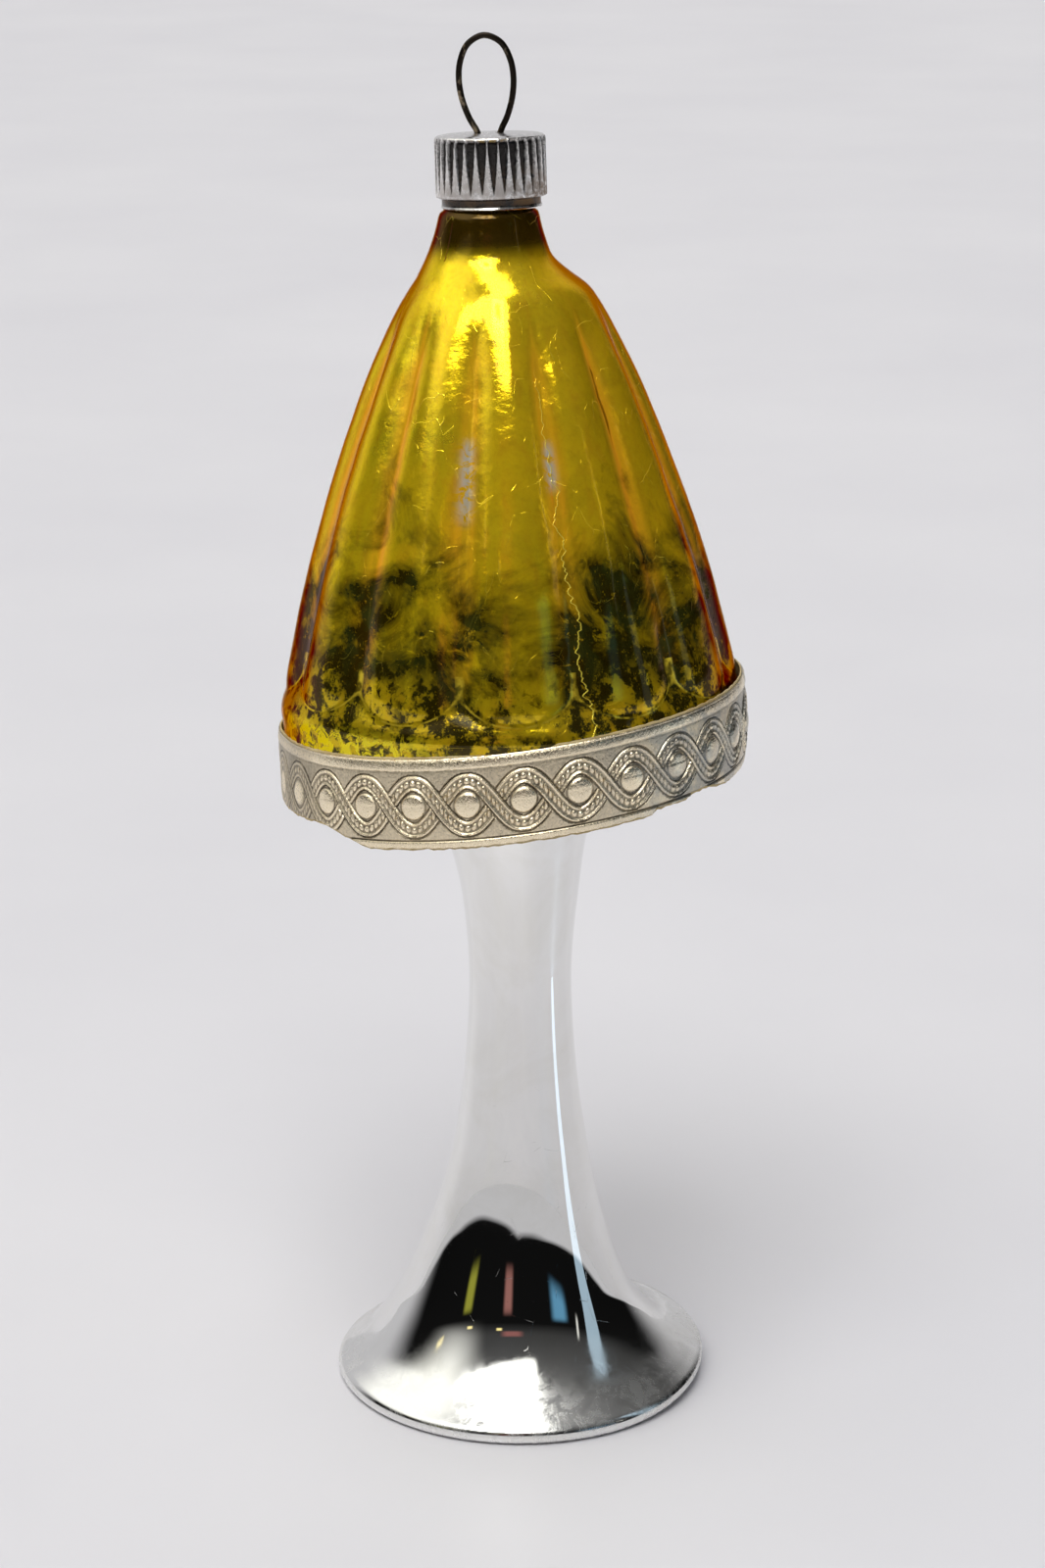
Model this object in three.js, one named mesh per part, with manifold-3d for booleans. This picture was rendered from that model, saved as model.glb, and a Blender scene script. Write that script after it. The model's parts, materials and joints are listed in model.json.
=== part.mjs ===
// A blown-glass hanging ornament in the shape of a small table lamp, in millimetres, +Z up.
// It stands on its foot: the stem's axis is Z, and the foot's resting ring lies in the plane Z = 0.
// The fluted shade leans a little on the stem, and its neck carries a crimped cap with a spring-wire
// hanger. An embossed foil strip on a paper backing is wound round the shade's rim.
import * as THREE from "three";
import { mergeVertices } from "three/addons/utils/BufferGeometryUtils.js";
import Module from "manifold-3d";

const wasm = await Module();
wasm.setup();

// ---- Driving dimensions ----------------------------------------------------------------------
const GLASS = 0.75; // wall of the blown glass

const FOOT_RADIUS = 20.65;
const RIM_ROUND = 1; // radius of the foot's rolled edge
const REST_RADIUS = 16.6; // the foot rests on a flat ring from here to its rolled edge
const KICK_UP = 1.9; // height of the foot's hollow underside at its centre
const EDGE_LIFT = 1.6; // the edge is bent up a little on the right, towards the back
const EDGE_LIFT_TURN = THREE.MathUtils.degToRad(130); // from the front towards the right
const EDGE_LIFT_FROM = 15.5; // radius where the bend starts
const FLARE_LEFT = 0.6; // the flare is blown a little to the left,
const FLARE_LEFT_FROM = 2; // from this height,
const FLARE_LEFT_MOST = 9; // most of all here,
const FLARE_LEFT_TO = 30; // up to here

const SHADE_BASE = 69; // height of the shade's origin, at the middle of its floor
const SHADE_X = -0.65; // the shade sits a little to the left of the stem's axis
const LEAN_BACK = THREE.MathUtils.degToRad(4.2);
const LEAN_LEFT = THREE.MathUtils.degToRad(1.7);
const STEM_BEND_FROM = 56; // above this height the stem bends to follow the shade's lean

const LOBES = 12;
const LOBE_DEPTH = 0.95; // how far a lobe stands out of the valleys beside it
const LOBE_PHASE = THREE.MathUtils.degToRad(2); // the front lobe points a little to the right
const LOBE_FOOT = 8.6; // heights above the shade's origin: a lobe's round lower end,
const LOBE_PRESSED = 11.6; // where the valleys reach their full depth,
const LOBE_FULL = 17; // where it has its full width,
const LOBE_FADE = 48; // where it starts to melt into the shoulder,
const LOBE_HEAD = 57; // and where it is gone

const NECK_X = -0.97; // the neck is blown off-centre,
const NECK_STEP_FROM = 53.2; // over these heights above the shade's origin,
const NECK_STEP_TO = 57.4;
const NECK_SLOPE = 0.037; // and stands straighter than the shade
const NECK_RADIUS = 4.75; // inside the cap
const NECK_WALL = 0.6;
const NECK_TOP = 69.35; // above the shade's origin
const PLATE_TOP = 69.9; // the cap's flat top, above the shade's origin

const CAP_RADIUS = 5.87;
const CAP_HEIGHT = 7.7;
const CAP_WALL = 0.2;
const COLLAR_RADIUS = 5.25;
const CRIMPS = 31;
const CRIMP_DEPTH = 0.42; // at the top of the skirt; the crimps run out towards the collar
const CRIMP_END = -5.9; // measured down from the cap's top

const WIRE = 0.65;
const WIRE_HOLE = 0.55; // radius of each of the cap's two holes
const WIRE_HOLE_X = 1.12;
const WIRE_TIP = THREE.MathUtils.degToRad(1.5); // the loop tips to the left in its holes

const STRIP_HEIGHT = 9.4;
const STRIP_MIDDLE = 5.05; // height of the strip's centre above the shade's origin
const STRIP_CLIMB_RIGHT = Math.tan(THREE.MathUtils.degToRad(5.4)); // the strip is glued on askew,
const STRIP_CLIMB_BACK = Math.tan(THREE.MathUtils.degToRad(1.2)); // flat against the glass
const BACKING_RADIUS = 24.95; // inner faces of the two layers
const FOIL_RADIUS = 25.25;
const LAYER = 0.2; // thickness of each layer
const BACKING_SHOWS = 0.25; // the paper stands this far above and below the foil
const LAP = THREE.MathUtils.degToRad(9); // the strip's end laps over its start, at the back
const LAP_RISE = 0.75;

// ---- Helpers ---------------------------------------------------------------------------------
const point = (r, z) => new THREE.Vector2(r, z);
const spline = (points, steps) => new THREE.SplineCurve(points).getPoints(steps);
const smooth = THREE.MathUtils.smoothstep;

// Points of a circular arc in the profile plane.
function arc(r, z, radius, fromDeg, toDeg, steps) {
  const from = THREE.MathUtils.degToRad(fromDeg);
  const to = THREE.MathUtils.degToRad(toDeg);
  return new THREE.EllipseCurve(r, z, radius, radius, from, to, to < from).getPoints(steps);
}

// The same profile moved to its left by a distance, which is the inside of a wall drawn upwards.
function insideOf(profile, distance) {
  return profile.map((p, i) => {
    const before = profile[Math.max(i - 1, 0)];
    const after = profile[Math.min(i + 1, profile.length - 1)];
    const along = after.clone().sub(before).normalize();
    return point(Math.max(p.x - along.y * distance, 0), p.y + along.x * distance);
  });
}

// A solid of revolution about Z. The profile starts and ends on the axis, or closes on itself.
function turned(profile, segments) {
  return new THREE.LatheGeometry(profile, segments).rotateX(Math.PI / 2);
}

// Moves every vertex by a rule, to flute, crimp or bend a turned solid.
function reshape(geometry, rule) {
  const position = geometry.getAttribute("position");
  const p = new THREE.Vector3();
  for (let i = 0; i < position.count; i++) {
    rule(p.fromBufferAttribute(position, i));
    position.setXYZ(i, p.x, p.y, p.z);
  }
  return geometry;
}

// Stretches a vertex's distance from Z by a length in millimetres.
function pushOut(p, distance) {
  const r = Math.hypot(p.x, p.y);
  if (r > 0) {
    p.x *= 1 + distance / r;
    p.y *= 1 + distance / r;
  }
}

function toSolid(geometry) {
  const bare = geometry.clone();
  bare.deleteAttribute("normal");
  bare.deleteAttribute("uv");
  const merged = mergeVertices(bare, 1e-4);
  return new wasm.Manifold(
    new wasm.Mesh({
      numProp: 3,
      vertProperties: new Float32Array(merged.getAttribute("position").array),
      triVerts: new Uint32Array(merged.index.array),
    }),
  );
}

function toGeometry(solid) {
  const mesh = solid.getMesh();
  return new THREE.BufferGeometry()
    .setAttribute("position", new THREE.BufferAttribute(mesh.vertProperties, 3))
    .setIndex(new THREE.BufferAttribute(mesh.triVerts, 1));
}

function named(name, geometry, color, roughness, metalness) {
  const material = new THREE.MeshStandardMaterial({ color, roughness, metalness });
  const mesh = new THREE.Mesh(geometry, material);
  mesh.name = name;
  return mesh;
}

// ---- Stem and foot: one hollow piece of silvered glass, open only at its top ------------------
function stemAndFoot() {
  const rimCentre = FOOT_RADIUS - RIM_ROUND;
  const underside = [
    point(0, KICK_UP - 0.7), // the nub where the glass tube was sealed
    point(0.9, KICK_UP - 0.45),
    ...spline([point(1.7, KICK_UP), point(9, 1.5), point(14.6, 0.45), point(REST_RADIUS, 0)], 6),
  ];
  const rim = arc(rimCentre, RIM_ROUND, RIM_ROUND, -90, 62, 6);
  const flare = spline(
    [
      point(19.2, 2.55),
      point(16.4, 5),
      point(13.6, 8.8),
      point(11.7, 12.7),
      point(9.4, 19.2),
      point(7.6, 26.6),
      point(6.25, 36),
      point(5.62, 46.5),
      point(6.1, 54.5),
      point(7.1, 61.2),
      point(8.3, 65.4),
      point(9.5, 67.9),
    ],
    16,
  );
  const outside = [...underside, ...rim, ...flare];
  const profile = [...outside, ...insideOf(outside, GLASS).reverse()];
  return reshape(turned(profile, 36), (p) => {
    const outward = Math.max(Math.hypot(p.x, p.y) - EDGE_LIFT_FROM, 0) / (FOOT_RADIUS - EDGE_LIFT_FROM);
    const facing = Math.max(Math.cos(0.9 * (Math.atan2(p.x, -p.y) - EDGE_LIFT_TURN)), 0);
    const swerve = smooth(p.z, FLARE_LEFT_FROM, FLARE_LEFT_MOST);
    p.x -= FLARE_LEFT * swerve * (1 - smooth(p.z, FLARE_LEFT_MOST, FLARE_LEFT_TO));
    p.z += EDGE_LIFT * (outward * facing) ** 1.5;
    const bend = smooth(p.z, STEM_BEND_FROM, SHADE_BASE);
    p.z += bend * (p.x * Math.tan(LEAN_LEFT) - p.y * Math.tan(LEAN_BACK));
    p.x += bend * SHADE_X;
  });
}

// ---- Shade: twelve lobes, a rounded rim, a hollowed floor and a neck ---------------------------
// How far a lobe swells out of the shade at an angle and height, 0 in the valleys.
function lobeSwell(angle, height) {
  const turn = ((angle - LOBE_PHASE) / (2 * Math.PI)) * LOBES;
  const across = 2 * (turn - Math.round(turn)); // -1 and 1 in the valleys, 0 on the crown
  const short = THREE.MathUtils.clamp((LOBE_FULL - height) / (LOBE_FULL - LOBE_FOOT), 0, 1);
  const halfWidth = Math.sqrt(1 - short * short);
  if (halfWidth < 1e-6 || Math.abs(across) >= halfWidth) return 0;
  const crown = 1 - (across / halfWidth) ** 2;
  return Math.sqrt(halfWidth) * crown ** 0.8 * (1 - smooth(height, LOBE_FADE, LOBE_HEAD));
}

// How far the neck stands to the side of the shade's axis at a height.
function neckOffset(height) {
  const step = NECK_X * smooth(height, NECK_STEP_FROM, NECK_STEP_TO);
  return step + NECK_SLOPE * Math.max(height - NECK_STEP_TO, 0);
}

function shade() {
  const floor = spline(
    [point(9.85, -0.72), point(10.9, 0.5), point(13.5, 1.9), point(17.5, 2.7), point(21.5, 2.9)],
    5,
  );
  const rim = spline([point(22.9, 3.2), point(24.1, 4.1), point(24.65, 5.8), point(24.7, 9)], 5);
  const wall = spline(
    [
      point(24.6, 10.8),
      point(23.9, 14.1),
      point(21.4, 24.3),
      point(18.15, 34.5),
      point(14.85, 43.3),
      point(12, 49.5),
      point(9.9, 53.2),
      point(8, 55.3),
      point(6.6, 57.1),
      point(5.95, 59.3),
      point(5.5, 61.4),
    ],
    16,
  );
  const neck = [point(5.3, 61.8), point(NECK_RADIUS, 62), point(NECK_RADIUS, NECK_TOP)];
  const outside = [...floor, ...rim, ...wall, ...neck];
  const inside = insideOf(outside.slice(0, -neck.length), GLASS);
  const bore = NECK_RADIUS - NECK_WALL;
  inside.push(point(bore, 62.2), point(bore, NECK_TOP));
  const profile = [...outside, ...inside.reverse(), outside[0].clone()];
  return reshape(turned(profile, LOBES * 4), (p) => {
    // The wall's radii are those of the crowns, so the valleys are pressed in.
    if (Math.hypot(p.x, p.y) > NECK_RADIUS && p.z > LOBE_FOOT) {
      const pressed = smooth(p.z, LOBE_FOOT, LOBE_PRESSED) * (1 - smooth(p.z, LOBE_FADE, LOBE_HEAD));
      const swell = lobeSwell(Math.atan2(p.y, p.x) + Math.PI / 2, p.z);
      pushOut(p, LOBE_DEPTH * Math.min(swell - pressed, 0));
    }
    p.x += neckOffset(p.z);
  });
}

// ---- Cap: thin crimped metal, with two holes for the hanger ------------------------------------
function cap() {
  const outside = [
    point(0, 0),
    point(3.6, -0.05),
    ...spline([point(4.7, -0.15), point(5.5, -0.5), point(CAP_RADIUS, -1.1)], 4),
    point(CAP_RADIUS, -3.4),
    point(CAP_RADIUS, CRIMP_END),
    point(CAP_RADIUS, -6.35),
    point(COLLAR_RADIUS, -6.6),
    point(COLLAR_RADIUS, -CAP_HEIGHT),
  ];
  const inside = [
    point(COLLAR_RADIUS - CAP_WALL, -CAP_HEIGHT),
    point(COLLAR_RADIUS - CAP_WALL, -6.4),
    point(CAP_RADIUS - CAP_WALL, -6.15),
    point(CAP_RADIUS - CAP_WALL, CRIMP_END),
    point(CAP_RADIUS - CAP_WALL, -3.4),
    point(CAP_RADIUS - CAP_WALL, -1.2),
    point(5.3, -0.62),
    point(4.6, -0.15 - CAP_WALL),
    point(3.6, -0.05 - CAP_WALL),
    point(0, -CAP_WALL),
  ];
  const profile = [...outside, ...inside].reverse();
  const cup = reshape(turned(profile, CRIMPS * 2), (p) => {
    const valley = 0.5 - 0.5 * Math.cos(Math.atan2(p.y, p.x) * CRIMPS);
    const starts = smooth(Math.hypot(p.x, p.y), 4.5, 5.5);
    const runsOut = THREE.MathUtils.clamp(1 - p.z / CRIMP_END, 0, 1);
    pushOut(p, -CRIMP_DEPTH * valley * starts * runsOut);
  });
  let solid = toSolid(cup);
  for (const side of [-1, 1]) {
    const drill = new THREE.CylinderGeometry(WIRE_HOLE, WIRE_HOLE, 2, 20).rotateX(Math.PI / 2);
    solid = solid.subtract(toSolid(drill.translate(side * WIRE_HOLE_X, 0, 0)));
  }
  return toGeometry(solid);
}

// ---- Hanger: a teardrop loop whose two legs pass through the cap and spring against the bore ----
function hanger() {
  const half = [
    [2.6, -13], // leg end
    [2.9, -10.4],
    [2.8, -7.6],
    [2.2, -4],
    [1.3, -1.6],
    [1, -0.75], // waist, just under the cap
    [1.3, 0.3],
    [2.02, 1.7],
    [2.62, 3.6],
    [2.84, 5.6],
    [2.58, 7.5],
    [1.7, 9.2],
  ];
  const left = half.map(([x, z]) => new THREE.Vector3(-x, 0, z));
  const right = half.map(([x, z]) => new THREE.Vector3(x, 0, z)).reverse();
  const line = new THREE.CatmullRomCurve3([...left, new THREE.Vector3(0, 0, 10), ...right]);
  const section = new THREE.Shape(
    Array.from({ length: 8 }, (_, i) => {
      const turn = (i / 8) * 2 * Math.PI;
      return point((WIRE / 2) * Math.cos(turn), (WIRE / 2) * Math.sin(turn));
    }),
  );
  return new THREE.ExtrudeGeometry(section, { steps: 64, extrudePath: line });
}

// ---- Strip: a flat band wound once round the rim, its end lapped over its start ---------------
function strip(innerRadius, height) {
  const steps = 60;
  const from = Math.PI / 2; // the lap is at the back
  const edge = (offset) =>
    Array.from({ length: steps + 1 }, (_, i) => {
      const along = (i / steps) * (2 * Math.PI + LAP);
      const climb = LAP_RISE * smooth(along, 2 * Math.PI - LAP, 2 * Math.PI);
      const r = innerRadius + offset + climb;
      return point(r * Math.cos(from + along), r * Math.sin(from + along));
    });
  const outline = new THREE.Shape([...edge(LAYER), ...edge(0).reverse()]);
  const band = new THREE.ExtrudeGeometry(outline, { depth: height, bevelEnabled: false });
  band.translate(0, 0, STRIP_MIDDLE - height / 2);
  return reshape(band, (p) => {
    p.z += p.x * STRIP_CLIMB_RIGHT + p.y * STRIP_CLIMB_BACK;
  });
}

// ---- Assembly --------------------------------------------------------------------------------
const ornament = new THREE.Group();
ornament.add(named("stem_and_foot", stemAndFoot(), 0xe6e7e8, 0.05, 1));

const shadeGroup = new THREE.Group();
shadeGroup.position.set(SHADE_X, 0, SHADE_BASE);
shadeGroup.rotation.set(-LEAN_BACK, -LEAN_LEFT, 0);
shadeGroup.add(named("shade", shade(), 0xc79a12, 0.12, 1));
ornament.add(shadeGroup);

const backingHeight = STRIP_HEIGHT + 2 * BACKING_SHOWS;
shadeGroup.add(
  named("trim_backing_paper", strip(BACKING_RADIUS, backingHeight), 0xcbb57a, 0.85, 0),
  named("trim_embossed_foil", strip(FOIL_RADIUS, STRIP_HEIGHT), 0xb9b2a4, 0.4, 1),
);

const capGroup = new THREE.Group();
capGroup.position.set(neckOffset(PLATE_TOP), 0, PLATE_TOP);
capGroup.add(named("crimped_cap", cap(), 0xcfcfd2, 0.25, 1));
const wire = named("hanger_wire", hanger(), 0x3a332c, 0.35, 1);
wire.rotation.y = -WIRE_TIP;
capGroup.add(wire);
shadeGroup.add(capGroup);

export default ornament;
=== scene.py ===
"""The looks of a blown-glass ornament shaped like a small table lamp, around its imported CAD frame.

Lengths are in millimetres until a mesh is made, because the frame is in metres. The shade, its trim, the
cap and the hanger are drawn in the shade's own leaning frame, which comes from the joints in the record.
"""

import math

import bpy
import numpy as np
from mathutils import Matrix, Vector, noise
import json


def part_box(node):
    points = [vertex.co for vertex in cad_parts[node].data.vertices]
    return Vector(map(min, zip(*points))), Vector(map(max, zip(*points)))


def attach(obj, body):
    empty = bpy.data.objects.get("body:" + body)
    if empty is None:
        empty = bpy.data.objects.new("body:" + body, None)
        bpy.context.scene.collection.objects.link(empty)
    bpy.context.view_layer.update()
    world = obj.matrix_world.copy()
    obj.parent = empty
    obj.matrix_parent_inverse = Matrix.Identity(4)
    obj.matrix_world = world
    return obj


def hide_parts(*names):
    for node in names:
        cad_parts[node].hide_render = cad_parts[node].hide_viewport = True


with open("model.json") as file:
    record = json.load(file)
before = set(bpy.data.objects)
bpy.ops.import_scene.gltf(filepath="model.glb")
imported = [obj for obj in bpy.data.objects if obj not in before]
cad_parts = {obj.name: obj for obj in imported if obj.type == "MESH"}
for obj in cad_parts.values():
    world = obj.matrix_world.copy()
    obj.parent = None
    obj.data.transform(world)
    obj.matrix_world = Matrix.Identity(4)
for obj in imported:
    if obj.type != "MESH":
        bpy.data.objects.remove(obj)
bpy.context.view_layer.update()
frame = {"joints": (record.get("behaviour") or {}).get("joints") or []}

MM = 0.001

# ---- Driving dimensions ---------------------------------------------------------------------------
GLASS = 0.75

RIM_ROUND = 1.0
REST_RADIUS = 16.6
KICK_UP = 1.9
EDGE_LIFT = 1.6
EDGE_LIFT_TURN = math.radians(130)
EDGE_LIFT_FROM = 15.5
FLARE_LEFT = 0.6
FLARE_HEIGHTS = (2, 9, 30)
STEM_BEND_FROM = 56
SHADE_BASE = 69
SHADE_X = -0.65

LOBES = 12
LOBE_PHASE = math.radians(2)
LOBE_DEPTH = 0.95
LOBE_FOOT = 9.6
LOBE_PRESSED = 14.6
LOBE_FADE = 43.0
LOBE_HEAD = 56.0
VALLEY_ROUND = 0.12
RIM_PROUD = 0.15
CROWN_TUCK = (14.3, 0.5, 3.9)

NECK_X = -0.97
NECK_STEP = (53.2, 57.4)
NECK_SLOPE = 0.037
NECK_RADIUS = 4.75
NECK_WALL = 0.6
NECK_TOP = 69.35

PLATE_TOP = 69.9
PLATE = 0.2
CAP_RADIUS = 5.87
COLLAR_RADIUS = 5.25
CRIMPS = 31
CRIMP_DEPTH = 0.42
CRIMP_END = 6.05
WIRE = 0.65
WIRE_HOLE = 0.55
WIRE_HOLE_X = 1.12
WIRE_TIP = math.radians(1.5)

STRIP_HEIGHT = 9.4
STRIP_MIDDLE = 5.05
STRIP_CLIMB_RIGHT = math.tan(math.radians(5.4))
STRIP_CLIMB_BACK = math.tan(math.radians(1.2))
BACKING_SHOWS = 0.25
PAPER_INNER = 24.66
PAPER_THICKNESS = 0.14
FOIL_INNER = 24.81
FOIL_THICKNESS = 0.06
STRIP_LAP = math.radians(9)
LAP_CLIMB = 0.6
STRIP_BOW = 0.27
SPRUNG_EDGE = 0.28

# The embossing: eyes round the strip, and the two ribbons that wind between them.
EYES = 27
PITCH = 2 * math.pi * 25.3 / EYES
EMBOSSING_SHIFT = 0.05
WAVE = 2.5
RIBBON = 0.8
BEADS = 11

# ---- Room, light and camera, in metres, watts and degrees -----------------------------------------
WALL = (0.56, 0.556, 0.572)
DARK_ROOM = [(0, 0.004), (24, 0.006), (31, 0.05), (42, 0.08), (55, 0.12), (90, 0.4)]  # rise, level
# Things in the room: turn from the front, rise, half width, half height, colour.
ROOM_THINGS = [
    (-50, 15, 4, 3, (0.3, 0.3, 0.04)),
    (-8, 17, 4, 3, (0.32, 0.14, 0.12)),
    (-3, 31, 9, 1.6, (0.3, 0.12, 0.11)),
    (46, 17, 7, 4, (0.12, 0.32, 0.5)),
    (64, 24, 1, 6, (0.8, 0.8, 0.75)),
    (-74, 27, 2.5, 0.8, (1.2, 1.0, 0.4)),
    (-46, 26, 2.5, 0.8, (1.2, 1.0, 0.4)),
    (-16, 28, 2.5, 0.8, (1.2, 1.0, 0.4)),
    (-95, 48, 45, 18, (1.3, 1.3, 1.22)),
]
OVERHEAD_PLACE, OVERHEAD_SIZE, OVERHEAD_POWER = (-0.3, -1.0, 1.8), 2.0, 2.0
STRIP_LAMP_PLACE, STRIP_LAMP_SIZE, STRIP_LAMP_POWER = (0.115, -0.03, 0.062), (0.026, 0.13), 0.005
CAMERA_PLACE, CAMERA_TILT, FOCAL_LENGTH = (0.000234, -0.3952, 0.1937), 17.5, 87.75
FLOOR_REACH = 7000  # millimetres

# ---- Frames, from the record's joints -------------------------------------------------------------
joints = {joint["name"]: joint for joint in frame["joints"]}
across = Vector(joints["hanger_rock"]["axis"]).normalized()
lift = Vector(joints["cap_lift"]["axis"])
upward = (lift - across * lift.dot(across)).normalized()
lean = Matrix((across, upward.cross(across), upward)).transposed().to_4x4()
plate_middle = Vector(joints["hanger_rock"]["pos_m"])
cap_frame = Matrix.Translation(plate_middle + upward * PLATE / 2 * MM) @ lean


def smooth(value, low, high):
    """0 below low, 1 above high, and an even S between them."""
    t = np.clip((value - low) / (high - low), 0, 1)
    return t * t * (3 - 2 * t)


def ridge(distance, width):
    """1 at no distance, falling away to both sides."""
    return np.exp(-((distance / width) ** 2))


def neck_offset(height):
    """How far the neck stands to the side of the shade's axis."""
    return NECK_X * smooth(height, *NECK_STEP) + NECK_SLOPE * np.maximum(height - NECK_STEP[1], 0)


shade_frame = cap_frame @ Matrix.Translation(Vector((-neck_offset(PLATE_TOP), 0, -PLATE_TOP)) * MM)
foot_low, foot_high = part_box("stem_and_foot")
FOOT_RADIUS = (foot_high[1] - foot_low[1]) / 2 / MM


# ---- Curves and meshes ----------------------------------------------------------------------------
def spline(points, steps):
    """A Catmull-Rom curve through points, with steps + 1 points of its own."""
    points = np.array(points, float)
    last = len(points) - 1
    t = np.linspace(0, last, steps + 1)
    i = np.minimum(t.astype(int), last - 1)
    t = (t - i)[:, None]
    before, start, end, after = (points[np.clip(i + k, 0, last)] for k in (-1, 0, 1, 2))
    into, out = (end - before) / 2, (after - start) / 2
    cubic = 2 * start - 2 * end + into + out
    square = -3 * start + 3 * end - 2 * into - out
    return ((cubic * t + square) * t + into) * t + start


def arc(r, z, radius, start, end, steps):
    """A circular arc in the profile plane, in degrees."""
    turn = np.radians(np.linspace(start, end, steps + 1))
    return np.c_[r + radius * np.cos(turn), z + radius * np.sin(turn)]


def even(points, spacing):
    """The same open line with its points about spacing apart."""
    points = np.array(points, float)
    along = np.r_[0, np.cumsum(np.linalg.norm(np.diff(points, axis=0), axis=1))]
    places = np.linspace(0, along[-1], max(int(along[-1] / spacing), 1) + 1)
    return np.stack([np.interp(places, along, column) for column in points.T], axis=1)


def inside_of(profile, distance):
    """A profile drawn upwards, moved to its left, which is the inside of the wall."""
    ahead = np.roll(profile, -1, axis=0)
    behind = np.roll(profile, 1, axis=0)
    ahead[-1], behind[0] = profile[-1], profile[0]
    along = ahead - behind
    along /= np.linalg.norm(along, axis=1)[:, None]
    moved = profile + np.c_[-along[:, 1], along[:, 0]] * distance
    moved[:, 0] = np.maximum(moved[:, 0], 0.02)
    return moved


def wobble(points, size, seed):
    """Smooth noise from -1 to 1 at points, with bumps about size across."""
    places = np.reshape(points, (-1, 3)) / size + seed * 17.3
    values = [noise.noise(Vector(place)) for place in places]
    return np.reshape(values, np.shape(points)[:-1])


def grid_faces(rows, columns, close_rows, close_columns=True):
    """The quads of a grid of points, wound so that they face out of a lathe drawn upwards."""
    i = np.arange(rows if close_rows else rows - 1)[:, None]
    j = np.arange(columns if close_columns else columns - 1)[None, :]
    below, above = i * columns, (i + 1) % rows * columns
    here, beside = j, (j + 1) % columns
    quads = (below + here, below + beside, above + beside, above + here)
    return np.stack(np.broadcast_arrays(*quads), axis=-1).reshape(-1, 4)


def make(name, points, faces, matrix, attributes=None, sharp=None):
    """A smooth mesh object from points in millimetres in a frame, with float attributes."""
    mesh = bpy.data.meshes.new(name)
    flat = np.reshape(points, (-1, 3)) * MM
    turned = flat @ np.array(matrix.to_3x3()).T + np.array(matrix.translation)
    mesh.from_pydata(turned.tolist(), [], [list(map(int, face)) for face in faces])
    for key, values in (attributes or {}).items():
        layer = mesh.attributes.new(key, "FLOAT", "POINT")
        layer.data.foreach_set("value", np.ravel(values).astype(np.float32))
    mesh.polygons.foreach_set("use_smooth", [True] * len(mesh.polygons))
    if sharp:
        mesh.set_sharp_from_angle(angle=math.radians(sharp))
    mesh.validate()
    mesh.update()
    piece = bpy.data.objects.new(name, mesh)
    bpy.context.scene.collection.objects.link(piece)
    return piece


def dress(piece, body, node, material):
    """Rides a piece on its body, in place of its CAD node, with its finish."""
    piece.data.materials.clear()
    piece.data.materials.append(material)
    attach(piece, body)
    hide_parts(node)
    return piece


# ---- Finishes -------------------------------------------------------------------------------------
class Graph:
    """Short ways to add nodes to a shader tree."""

    def __init__(self, tree):
        self.tree = tree

    def add(self, kind, inputs=(), **settings):
        made = self.tree.nodes.new(kind)
        for key, value in settings.items():
            setattr(made, key, value)
        for key, value in dict(inputs).items():
            if isinstance(value, bpy.types.NodeSocket):
                self.tree.links.new(value, made.inputs[key])
            else:
                made.inputs[key].default_value = value
        return made

    def mask(self, value, low, high, start=0.0, end=1.0, kind="LINEAR"):
        """A value mapped from low..high to start..end, and clamped."""
        levels = {"Value": value, "From Min": low, "From Max": high, "To Min": start, "To Max": end}
        return self.add("ShaderNodeMapRange", levels, interpolation_type=kind).outputs[0]

    def sum(self, operation, *values):
        total = values[0]
        for value in values[1:]:
            total = self.add("ShaderNodeMath", {0: total, 1: value}, operation=operation).outputs[0]
        return total

    def mix(self, share, first, second):
        made = self.add("ShaderNodeMix", data_type="RGBA")
        for index, value in ((0, share), (6, first), (7, second)):
            if isinstance(value, bpy.types.NodeSocket):
                self.tree.links.new(value, made.inputs[index])
            elif index == 0:
                made.inputs[index].default_value = value
            else:
                made.inputs[index].default_value = (*value, 1)
        return made.outputs[2]


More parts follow.
